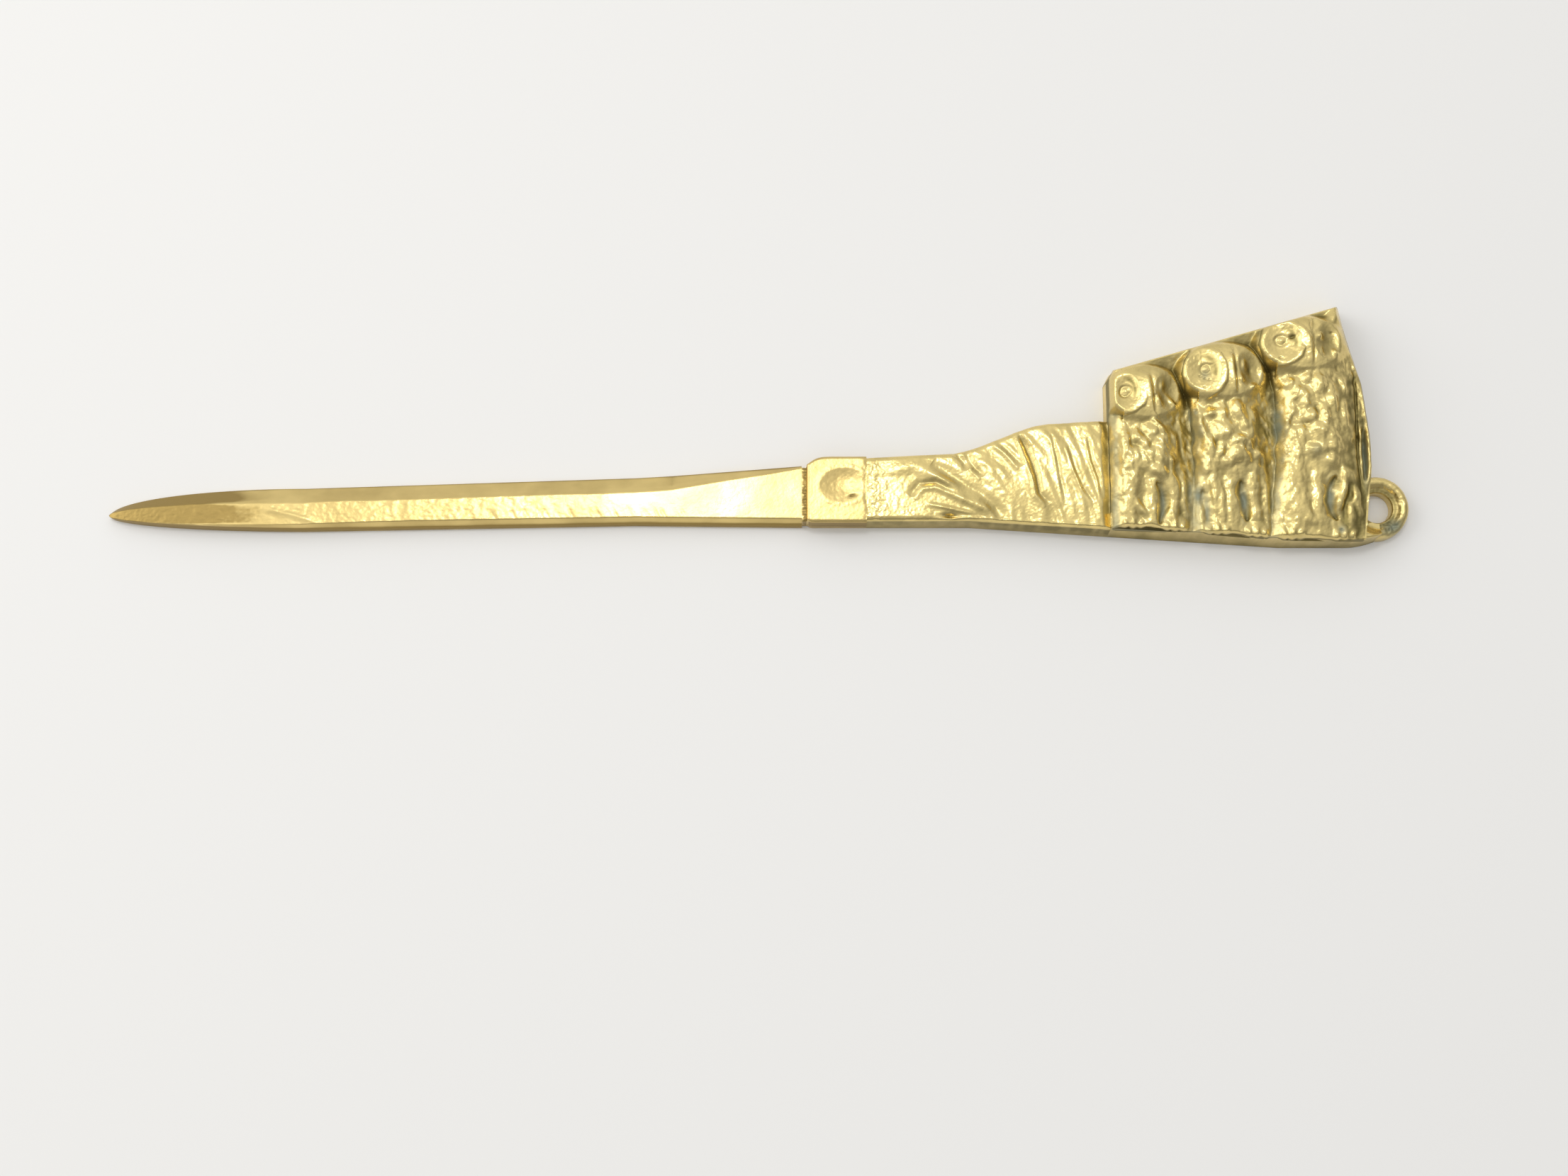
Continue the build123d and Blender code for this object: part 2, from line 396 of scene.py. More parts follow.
blade = {
    "name": "blade",
    "node": "blade",
    "slot": "polished_brass",
    "columns": 90,
    "crowd": 0.3,
    "hollowReach": 5,
    "length": 112.0,
    "pointLength": 32.0,
    "pointRise": 1.8,
    "thickness": 2.7,
    "pointThickness": 1.1,
    "stations": (-112.4, -80.4, -27.0, 0.0),  # along it, for the two rows below
    "lowEdge": (-0.65, -0.65, 0.3, 0.0),
    "width": (7.1, 7.1, 7.9, 9.8),
    "edgeBevel": 2.8,
    "edgeLand": 0.5,
    "rootBevel": 0.5,  # what is left of the bevel at the shoulder
    "bevelWaver": 0.12,
    "bevelRunout": 21.0,
    "spineBevel": 1.0,
    "spineLand": 0.9,
    "wallLean": (0.1, 0.06),
    "skin": 0.035,
    "fileMarks": 0.06,
    "crease": ((-86.7, 2.8), (-82.0, 1.6), (-77.8, 0.3)),
    "creaseWidth": 0.45,
    "creaseRise": 0.12,
    "pointDull": 0.28,
    "dullFrom": (-106, -84),
}


def makeBlade():
    b = blade
    point = b["pointLength"] * np.linspace(0.012, 1, 210) ** 2 - b["length"]
    runs = np.concatenate([point, np.linspace(point[-1], 0, 420)[1:]])

    def lines(x):
        fromPoint = np.clip((x + b["length"]) / b["pointLength"], 0, 1)
        full = np.sqrt(np.clip(1 - (1 - fromPoint) ** 2, 0, 1))
        low = np.interp(x, b["stations"], b["lowEdge"])
        high = low + np.interp(x, b["stations"], b["width"])
        rise = b["pointRise"]
        return rise + (low - rise) * full, rise + (high - rise) * full, full

    def heights(x, y):
        low, high, full = lines(x)
        root = b["rootBevel"]
        thick = b["pointThickness"] + (b["thickness"] - b["pointThickness"]) * full
        out = np.clip(-x / b["bevelRunout"], 0, 1)
        bevel = (root + (b["edgeBevel"] - root) * out) * full
        bevel = bevel + b["bevelWaver"] * noise(x, x * 0, 7.0, 5) * full
        land = (thick - root) + (b["edgeLand"] - thick + root) * out
        upper = land + (high - y) / np.maximum(bevel, 0.05) * (thick - land)
        spine = b["spineBevel"] * (0.35 + 0.65 * ease(-105, -60, x)) * np.maximum(full, 0.1)
        lower = b["spineLand"] + (y - low) / spine * (thick - b["spineLand"])
        onFace = ease(0.0, 0.5, np.minimum(upper, lower) - thick + 0.25)
        rough = 1 - 0.75 * ease(-48, -22, x)
        face = thick + onFace * rough * castSkin(x, y, 11, b["skin"])
        lean = noise(x + 0.55 * y, x * 0.12, 0.55, 21)  # slanting file marks low on the face
        band = bell(y - low, 1.6, 0.9) * ease(-64, -52, x) * (1 - ease(-24, -12, x))
        face = face - b["fileMarks"] * band * np.clip(lean, 0, 1)
        face = face + b["creaseRise"] * stroke(x, y, b["crease"], b["creaseWidth"])
        z = softMin(softMin(face, upper, 0.05), lower, 0.06)
        return z + (1 - onFace) * castSkin(x * 0.35, y, 31, 0.01)

    def darkening(x, y):  # darker towards the point
        return b["pointDull"] * (1 - ease(*b["dullFrom"], x + 2 * noise(x, y, 2.5, 33)))

    low, high, full = lines(runs)
    insets = [lean * full for lean in b["wallLean"]]
    reliefPiece({**b, "darkening": darkening}, runs, (low, high), insets, heights, polishedBrass)


bolster = {
    "name": "bolster",
    "node": "bolster",
    "slot": "polished_brass",
    "columns": 120,
    "hollowReach": 5,
    "neckLength": 0.75,
    "neckInset": 0.35,
    "neckThickness": 2.95,
    "end": 10.4,
    "neckWidth": 9.8,
    "width": 11.1,
    "thickness": 4.2,
    "cornerDrop": 1.25,
    "cornerLength": 1.3,
    "lowCorner": (0.35, 0.45),  # rise and length of the lower corner
    "edgeRound": 0.55,
    "wallLean": 0.1,
    "seamDepth": 0.09,
    "dishMiddle": (6.7, 6.2),
    "dishHalf": (3.85, 2.9),
    "dishDepth": 0.3,
    "dishLean": 4,
    "dishPit": ((8.1, 4.5), (0.7, 0.25), 12),
    "dishPitDepth": 0.2,
    "dishLip": 0.02,
}


def seam(x, y):
    # the shallow, uneven line where the bolster ends and the bark begins
    b = bolster
    middle = b["end"] + 0.3 * noise(y, y * 0, 1.8, 48)
    depth = b["seamDepth"] * bell(x, middle, 0.4)
    return depth * (0.7 + 0.5 * noise(y, y * 0, 0.9, 49))


def makeBolster():
    b = bolster
    runs = np.concatenate(
        [np.linspace(0, 1.0, 14), np.linspace(1.04, 2.0, 40), np.linspace(2.08, b["end"], 90)]
    )

    def lines(x):
        step = ease(b["neckLength"] - 0.08, b["neckLength"] + 0.08, x)
        past = np.clip(x - b["neckLength"], 0, None)
        high = b["width"] - b["cornerDrop"] * bell(past, 0, b["cornerLength"], 1.5)
        bottom = b["lowCorner"][0] * bell(past, 0, b["lowCorner"][1])
        low = b["neckInset"] + (bottom - b["neckInset"]) * step
        neckHigh = b["neckWidth"] - b["neckInset"]
        return low, neckHigh + (high - neckHigh) * step

    def heights(x, y):
        low, high = lines(x)
        r, lean = b["edgeRound"], b["wallLean"]
        e = softMin(softMin(y - low - lean, high - lean - y, 0.1), x - b["neckLength"], 0.1)
        block = b["thickness"] - r + quarterRound(e, r)
        q = oval(x, y, b["dishMiddle"], b["dishHalf"], b["dishLean"])
        bowl = b["dishDepth"] * np.clip(1 - q**2, 0, None) ** 1.35
        bowl = bowl * (1 + 0.3 * (y - b["dishMiddle"][1]) / b["dishHalf"][1])  # deeper at the top
        bowl = bowl + b["dishPitDepth"] * lump(x, y, *b["dishPit"])
        block = block - bowl + b["dishLip"] * bell(q, 1.08, 0.14)
        block = block + castSkin(x, y, 44, 0.018) * (q < 1.2)
        block = block + castSkin(x, y, 43, 0.012 + 0.03 * ease(9.2, 10.4, x)) - seam(x, y)
        scored = 0.12 * noise(x * 0.3, y, 0.5, 45)
        neck = b["neckThickness"] + scored + castSkin(x, y, 47, 0.05)
        step = ease(b["neckLength"] - 0.06, b["neckLength"] + 0.06, x)
        return neck + (block - neck) * step

    low, high = lines(runs)
    inset = np.full(runs.shape, b["wallLean"])
    reliefPiece(b, runs, (low, high), (inset, inset), heights, polishedBrass)


barkGrip = {
    "name": "barkGrip",
    "node": "bark_grip",
    "slot": "cast_brass",
    "columns": 170,
    "crowd": 0.5,
    "hollowReach": 7,
    "startWidth": 11.1,
    "straightEnd": 13.12,
    "swellRise": 4.1,
    "swell": (23.4, 40.4),
    "thickness": (4.1, 5.0),
    "crown": 0.5,
    # painted shade at the foot of its walls
    "wallPaintedShade": 0.25,
    "edgeRound": 0.9,
    "wallLean": (0.35, 0.3),
    "lipRise": 0.22,
    "valley": (47.9, 49.4),  # beside the small owl
    "valleyDepth": 0.75,
    "foldMiddle": (18.0, -0.5),  # the folds sweep round this point
    "grooves": (  # line of points, half width, depth, height of the ridge beside it
        (((34.8, 15.6), (35.8, 13.0), (36.9, 10.1), (37.6, 7.8), (38.1, 4.8), (39.6, 3.0)),
         0.45, 0.75, 0.3),
        (((20.8, 9.7), (24.3, 7.2), (26.6, 5.4), (28.8, 4.5), (30.5, 2.9), (32.1, 0.8)),
         0.75, 0.75, 0.45),
        (((17.3, 4.4), (18.9, 6.4), (21.5, 6.7), (24.3, 5.4), (26.5, 4.3), (29.4, 2.9)),
         0.5, 0.6, 0.25),
        (((24.2, 11.9), (26.1, 10.1), (26.8, 8.7)), 0.55, 0.7, 0.1),
        (((26.2, 12.0), (27.8, 8.9), (29.2, 7.6)), 0.4, 0.4, 0.15),
        (((31.2, 13.6), (33.2, 11.8), (35.4, 9.2)), 0.45, 0.45, 0.2),
        (((46.0, 14.0), (46.6, 10.1), (47.6, 7.2), (48.2, 3.6)), 0.25, 0.3, 0.12),
        (((42.8, 12.5), (43.9, 8.6), (45.2, 5.4), (46.8, 3.2)), 0.25, 0.2, 0.15),
        (((40.2, 14.5), (40.9, 11.0), (41.6, 6.4), (42.2, 3.0)), 0.25, 0.2, 0.08),
    ),
    "ridges": (  # line of points, half width, height
        (((20.3, 3.0), (23.7, 2.3), (27.3, 1.5)), 0.35, 0.3),
        (((21.5, 0.35), (24.5, 0.1), (28.4, 0.25)), 0.35, 0.35),
        (((13.5, 8.6), (18.1, 9.3), (23.5, 6.6), (29.6, 2.9)), 1.1, 0.3),
    ),
    "knot": ((23.7, 1.1), (1.3, 0.45), -4),
    "knotDepth": 0.7,
}


def gripShare(x):
    return (x - handle["gripStart"]) / (handle["plateStart"] - handle["gripStart"])


def gripTop(x):
    b = barkGrip
    straight = b["startWidth"] + (b["straightEnd"] - b["startWidth"]) * gripShare(x)
    return straight + b["swellRise"] * ease(*b["swell"], x)


def makeGrip():
    b = barkGrip
    runs = np.linspace(handle["gripStart"], handle["plateStart"], 400)

    def heights(x, y):
        low, high = baseLine(x), gripTop(x)
        share = np.clip((y - low) / (high - low), 0, 1)
        span = gripShare(x)
        z = b["thickness"][0] + (b["thickness"][1] - b["thickness"][0]) * span + 0.1
        z = z - b["crown"] * (2 * share - 1) ** 2 * ease(0.1, 0.5, span)
        aside, above = x - b["foldMiddle"][0], y - b["foldMiddle"][1]
        turn, along = np.hypot(aside, 1.15 * above), np.arctan2(above, aside)
        folds = 0.15 * noise(turn, along * 5, 2.2, 61) + 0.09 * noise(turn, along * 6, 0.9, 62)
        z = z + ease(18, 30, x) * ease(7, 13, turn) * folds
        for points, width, depth, ridge in b["grooves"]:
            d, side, part = fromLine(x, y, points)
            fade = np.sqrt(np.clip(5 * part * (1 - part), 0, 1))
            wide = 1.25 * width * (1 + 0.3 * noise(x, y, 2.4, 63))
            z = z - 0.6 * depth * fade * bell(d, 0, wide)
            beside = bell(side, -1.9 * width, 1.2 * width) * bell(d, 0, 3 * width, 4)
            z = z + ridge * fade * beside
        for points, width, height in b["ridges"]:
            z = z + height * stroke(x, y, points, width)
        z = z - b["knotDepth"] * lump(x, y, *b["knot"])
        z = z + castSkin(x, y, 65, 0.035 + 0.05 * bell(x, 11.6, 1.6))
        z = z - seam(x, y) + 0.07 * noise(x + 0.36 * y, 0.1 * y, 0.8, 66) * ease(37, 41, x)
        lip = bell(y - low, 0.75, 0.3) * ease(20, 24, x)
        z = z + b["lipRise"] * lip
        z = z - b["valleyDepth"] * ease(*b["valley"], x)
        r, (lean, leanTop) = b["edgeRound"], b["wallLean"]
        return z - r + quarterRound(softMin(y - low - lean, high - leanTop - y, 0.1), r)

    insets = [np.full(runs.shape, lean) for lean in b["wallLean"]]
    reliefPiece(b, runs, (baseLine(runs), gripTop(runs)), insets, heights, castBrass)


backPlate = {
    "name": "backPlate",
    "node": "back_plate",
    "slot": "cast_brass",
    "columns": 160,
    "leftTop": 23.6,
    "corner": (50.4, 25.5),
    "tip": (87.7, 36.4),
    "rise": 0.2922,  # of the top edge
    "sideX": (92.3, 92.35, 91.2, 89.5, 88.4, 87.7),
    "sideY": (-0.3, 12.0, 22.8, 28.6, 33.0, 36.4),
    "draft": 0.9,
    "draftDrop": 1.6,
    "wallLean": 0.25,
    # a distance across times this is one square to the top edge, beside the corner and past it
    "topLean": (0.88, 0.29),
}


def plateTopX(y):
    # where the sloping top edge of the plate is at that height
    b = backPlate
    places = (handle["plateStart"], b["corner"][0], b["tip"][0])
    x = np.interp(y, (b["leftTop"], b["corner"][1], b["tip"][1]), places)
    return np.where(y <= b["leftTop"], handle["plateStart"], x)


def plateTopY(x):
    return backPlate["corner"][1] + backPlate["rise"] * (x - backPlate["corner"][0])


def plateSideX(y):
    return np.interp(y, backPlate["sideY"], backPlate["sideX"])


def loopEdgeX(y):
    # left side of the loop, or far away where there is none
    cx, cy = handle["loopMiddle"]
    reach = np.sqrt(np.clip(handle["loopRadius"] ** 2 - (y - cy) ** 2, 0, None))
    return np.where(reach > 0, cx - reach, 1e9)


def makePlate():
    b = backPlate
    bottom = baseLine(np.array(92.0)) + handle["perchDepth"]
    runs = np.linspace(bottom, b["tip"][1] - 0.05, 330)

    def heights(x, y):
        lean = np.where(y < b["corner"][1], *b["topLean"])
        toTop = np.where(y > b["leftTop"], (x - plateTopX(y)) * lean, 9.0)
        e = np.minimum(toTop, plateSideX(y) - x)
        z = handle["ground"] - b["draftDrop"] + b["draftDrop"] * ease(-0.1, b["draft"], e)
        return z + castSkin(x, y, 71, 0.05)

    low = plateTopX(runs)
    high = np.maximum(np.minimum(plateSideX(runs), loopEdgeX(runs)), low + 0.02)
    inset = np.minimum(b["wallLean"], (high - low) * 0.2)
    reliefPiece(b, runs, (low, high), (inset, inset), heights, castBrass, along="y")


perch = {
    "name": "perch",
    "node": "perch",
    "slot": "cast_brass",
    "columns": 60,
    "thickness": 5.0,
    "topDrop": 0.7,  # the top's rounded edge starts this far down
    "edgeRound": 0.4,
    "end": 92.9,
    "lipX": (49.4, 51.4, 60.0, 70.0, 80.0, 88.0),
    "lipIn": (0.4, 0.85, 0.85, 0.7, 0.5, 0.45),  # how far its front leans in at those places
    "roundFrom": 87.6,  # where its foot starts to curve up into the loop
    "boreRadius": 2.75,  # what it leaves free for the loop's hole
    "endHeight": 2.6,
    "endBlend": (3.2, 5.6),  # from the middle of the loop
    # painted shade at the foot of its walls
    "wallPaintedShade": 0.34,
}


def perchLip(x):
    # how far the front of the perch leans in
    wave = 0.16 * noise(x, x * 0, 4.5, 81) + 0.1 * noise(x, x * 0, 1.6, 82)
    return np.interp(x, perch["lipX"], perch["lipIn"]) + wave


def makePerch():
    b = perch
    cx, cy = handle["loopMiddle"]
    runs = np.linspace(handle["plateStart"], b["end"], 380)
    ending = np.clip(runs - b["roundFrom"], 0, None)
    low = baseLine(runs) + 0.04 * ending**2
    bore = np.sqrt(np.clip(b["boreRadius"] ** 2 - (runs - cx) ** 2, 0, None))
    high = np.minimum(low + handle["perchDepth"], np.where(bore > 0, cy - bore, 99.0))
    lean = perchLip(runs)

    def heights(x, y):
        front = np.interp(x, runs, low + lean)
        z = b["thickness"] - b["topDrop"] + quarterRound(y - front, b["edgeRound"])
        z = z + 0.15 * noise(x, y, 1.7, 84) + castSkin(x, y, 83, 0.06)
        away = np.hypot(x - cx, y - cy)
        return b["endHeight"] + (z - b["endHeight"]) * ease(*b["endBlend"], away)

    reliefPiece(b, runs, (low, high), (lean, 0.0 * lean), heights, castBrass)


owlForm = {
    "slot": "cast_brass",
    "crowd": 0.2,
    "floor": 3.0,
    "ground": 3.25,  # between the birds
    "step": 0.09,
    "hollowReach": 7,
    # painted shade at the foot of the birds' walls
    "wallPaintedShade": 0.5,
    # painted shade under the brow, on the far face and between the heads
    "browPaintedShade": 0.28,
    "farFacePaintedShade": 0.14,
    "betweenPaintedShade": 0.4,
    "wallBloom": 0.55,
    "toeReach": 0.3,  # how far the toes hang over the lip of the perch
    "toes": ((-1.4, 0.9), (-0.15, 1.0), (1.2, 0.7)),  # beside the middle of the foot, and how long
    "toeRise": 0.42,
    "footFloor": 3.6,
    "footHeight": 5.7,
    "sideFloor": 4.0,  # where a bird's left side starts
    "swellGain": 3.2,
    "swellTop": 0.95,
    "tufts": 0.3,
    "fineTufts": 0.1,
    "barbs": 0.07,
    "flankLines": 0.12,
    "featherDrop": 0.25,
    "pitDepth": 0.16,
    "pitHalf": (0.3, 0.2),
    "edges": (  # height and x of the furrows beside the birds, from left to right
        ((-4, 49.43), (24, 49.43), (26, 50.6)),
        ((-4, 62.4), (4.2, 62.5), (8.8, 62.8), (13.5, 62.8), (18.2, 62.3), (20, 62.0),
         (21.5, 61.5), (23.8, 60.9), (26, 61.4), (27.5, 62.4), (40, 62.6)),
        ((-4, 74.6), (4.2, 75.0), (8.8, 75.7), (13.5, 76.2), (18.2, 76.1), (22.9, 75.6),
         (24.5, 75.2), (26, 74.3), (28.6, 73.4), (31, 74.0), (32.3, 75.2), (40, 75.4)),
        ((-4, 89.5), (2, 90.1), (5.6, 90.6), (9.3, 91.3), (14.5, 91.5), (20, 91.0), (23.9, 90.3),
         (27, 89.6), (30, 88.8), (33, 88.1), (36, 87.5)),
    ),
}

headForm = {
    "drop": 0.1,  # of its middle below the brow
    "leftWider": 1.11,
    "acrossFall": (2.4, 1.3),  # to the right, to the left
    "upFall": (1.9, 0.9),  # to the top, to the neck
    "rim": 0.86,  # share of its half size where the edge turns down
    "rimFall": (6.5, 4.5),  # at the top, at the neck
    "leftRimFall": 30.0,
    "earFloor": 3.2,
    "eyeRings": ((0.0, 0.42, 0.18), (0.8, 0.26, -0.1), (1.25, 0.28, 0.03)),  # radius, width, height
    "dishPower": 1.6,
    "ridgeWide": 1.5,
}

# Swellings and marks are x, y, half width, half height, lean in degrees and how much they add.
# The head is its middle and half sizes. The discs are middle, half sizes, depth and how much
# steeper the dish is beside the beak. The ridges are how steeply they climb, then x, y and half
# width along the rim or down the beak. Pockets are a line, half width and depth, bloom is middle,
# half sizes and strength, and ears are a line, half width and height.
smallOwl = {
    "name": "smallOwl",
    "node": "small_owl",
    "columns": 140,
    "leftSide": 0.16,  # share of its width in which its left side rounds up
    "turn": 0.14,
    "broad": 0.52,  # share of its width before its far flank turns away
    # painted shade on its far flank
    "farFlankPaintedShade": 0.16,
    "brow": 8.3,
    "head": ((55.4, 21.0), (5.9, 4.9)),
    "discs": (((51.8, 20.8), (2.15, 3.2), 0.9, 0.5), ((58.9, 21.0), (2.4, 3.5), 0.95, -0.6)),
    "eye": (51.9, 20.9),
    "ridges": (
        (0.18, ((52.4, 24.2, 0.3), (53.6, 23.8, 0.5), (54.5, 22.8, 0.85), (54.9, 21.4, 0.95),
            (55.1, 20.0, 0.9), (55.5, 18.6, 0.5), (55.8, 17.2, 0.4), (56.7, 15.8, 0.5),
            (57.8, 14.4, 0.4))),
        (0.2, ((55.0, 21.6, 0.6), (54.8, 20.2, 0.6), (54.2, 19.0, 0.55), (53.2, 18.1, 0.45),
            (51.9, 17.6, 0.35), (50.7, 18.0, 0.2))),
    ),
    "marks": (
        (59.4, 19.1, 0.5, 1.6, 41, 0.4), (57.2, 19.3, 0.4, 0.9, 25, 0.3),
        (57.7, 21.6, 0.5, 0.8, 0, 0.35), (56.3, 20.8, 0.4, 2.6, 6, -0.4),
    ),
    "crestY": (-3.0, 4.0, 6.2, 8.5, 11.0, 14.5, 16.8, 18.4, 20.5, 24.0, 30.0),
    "crestZ": (5.3, 5.7, 6.3, 7.0, 7.3, 7.3, 7.0, 6.4, 5.0, 3.6, 3.3),
    "swells": (
        (51.6, 12.2, 0.9, 2.8, 0, 0.45), (52.9, 9.6, 1.3, 1.7, 0, 0.5),
        (52.5, 6.6, 1.4, 2.2, 0, 0.6), (54.3, 12.7, 0.7, 2.0, 31, 0.5),
        (56.0, 14.4, 1.1, 1.1, 0, 0.45), (57.0, 15.2, 0.6, 1.6, 37, 0.5),
        (57.4, 9.8, 0.9, 1.7, -5, 0.6), (57.2, 7.7, 0.8, 1.5, 53, 0.55),
        (58.9, 9.3, 0.5, 1.1, 10, 0.35), (57.9, 12.4, 1.5, 1.6, 0, 0.35),
        (55.2, 9.6, 1.0, 1.7, 10, 0.3), (59.8, 12.9, 0.6, 1.4, 12, 0.3),
        (52.4, 3.4, 1.2, 3.2, 0, 0.8), (53.9, 2.0, 0.5, 1.5, 40, 0.5),
        (55.9, 2.6, 1.4, 3.9, 0, 0.45), (59.4, 4.8, 1.0, 2.8, 12, 0.8),
        (59.2, 1.3, 0.9, 2.2, 0, 0.6), (61.0, 4.6, 0.7, 4.2, 6, 0.35),
    ),
    "pockets": ((((56.7, 6.0), (57.4, 4.4), (57.6, 2.4), (57.1, -0.15)), 0.42, 0.95),),
    "feet": (52.9, 59.6),
    "pits": (),
    "bloom": (((57.5, 2.8), (0.7, 3.6), 0.9), ((62.0, 4.0), (0.9, 3.2), 0.8)),
}
middleOwl = {
    "name": "middleOwl",
    "node": "middle_owl",
    "columns": 145,
    "leftSide": 0.15,
    "turn": 0.17,
    "broad": 0.56,
    # painted shade on its far flank
    "farFlankPaintedShade": 0.16,
    "brow": 8.8,
    "head": ((68.1, 24.4), (6.8, 5.0)),
    "discs": (((64.1, 24.0), (2.95, 3.9), 0.85, 0.5), ((72.2, 24.6), (2.7, 3.7), 0.95, -0.6)),
    "eye": (64.8, 24.4),
    "ridges": (
        (0.23, ((64.4, 28.0, 0.2), (65.7, 27.6, 0.25), (66.8, 26.7, 0.3), (67.4, 25.4, 0.4),
            (67.4, 24.0, 0.55), (67.1, 22.6, 0.65), (66.4, 21.4, 0.6), (65.3, 20.4, 0.45),
            (64.0, 19.7, 0.3))),
        (0.3, ((67.8, 27.2, 0.4), (68.4, 26.0, 0.5), (68.6, 23.7, 0.55), (68.9, 21.5, 0.4),
            (69.2, 19.8, 0.35))),
    ),
    "marks": (
        (72.4, 21.6, 0.7, 0.6, 0, 0.55), (70.4, 22.8, 0.5, 0.7, 0, 0.4),
        (70.9, 25.1, 0.5, 0.9, 0, 0.4), (74.0, 24.2, 0.7, 1.0, 0, 0.25),
        (71.9, 24.4, 0.5, 1.0, 0, -0.25), (69.6, 24.4, 0.4, 3.2, 4, -0.4),
    ),
    "crestY": (-4.0, 5.0, 7.4, 9.4, 13.0, 17.5, 19.6, 21.4, 24.0, 28.0, 40.0),
    "crestZ": (5.4, 5.8, 6.5, 7.5, 7.9, 7.8, 7.5, 6.8, 5.2, 3.6, 3.3),
    "swells": (
        (67.3, 17.2, 0.9, 1.8, 4, 0.5), (67.4, 14.3, 1.4, 1.3, 0, 0.7),
        (69.7, 18.0, 1.0, 1.6, 10, 0.55), (63.9, 14.9, 0.7, 2.0, 12, 0.5),
        (65.2, 11.7, 0.8, 1.6, 10, 0.5), (72.0, 15.2, 0.8, 1.9, -12, 0.5),
        (69.6, 12.7, 1.0, 0.9, 0, 0.4), (69.6, 10.6, 1.5, 1.2, 0, 0.35),
        (73.0, 10.8, 1.0, 1.0, 20, 0.45), (65.3, 17.3, 0.8, 0.9, 0, 0.35),
        (70.6, 15.2, 0.8, 1.3, 10, 0.35), (71.4, 12.2, 0.7, 1.2, 20, 0.3),
        (66.8, 11.0, 0.8, 1.5, -15, 0.3), (67.9, 9.4, 0.8, 1.0, 0, 0.3),
        (64.7, 8.6, 0.8, 1.5, 0, 0.4), (65.8, 5.4, 0.65, 3.8, 3, 0.5),
        (66.9, 3.2, 0.65, 3.4, 5, 0.5), (68.5, 3.4, 1.3, 4.6, 0, 0.35),
        (72.3, 5.4, 1.0, 3.0, -6, 0.85), (72.8, 1.3, 0.95, 1.6, 0, 0.6),
        (74.1, 4.0, 0.7, 5.6, 3, 0.45),
    ),
    "pockets": ((((70.1, 6.2), (70.0, 4.6), (70.7, 3.2), (70.9, 1.6), (71.0, 0.3)), 0.45, 1.0),
                (((64.0, 4.8), (64.2, 2.6), (64.8, 0.6), (65.2, -1.2)), 0.4, 0.8)),
    "feet": (66.4, 72.6),
    "pits": ((63.9, 23.3), (64.6, 22.9), (65.2, 22.6), (64.5, 21.4), (63.2, 18.0), (66.3, 19.8)),
    "bloom": (((70.5, 3.2), (0.8, 3.4), 1.0), ((63.3, 4.0), (1.2, 2.4), 1.0),
              ((64.6, 1.4), (0.6, 3.0), 1.0), ((63.2, 17.6), (0.5, 0.9), 0.7),
              ((63.2, 10.4), (0.6, 3.6), 0.45), ((64.6, 23.4), (0.9, 1.2), 0.4)),
}
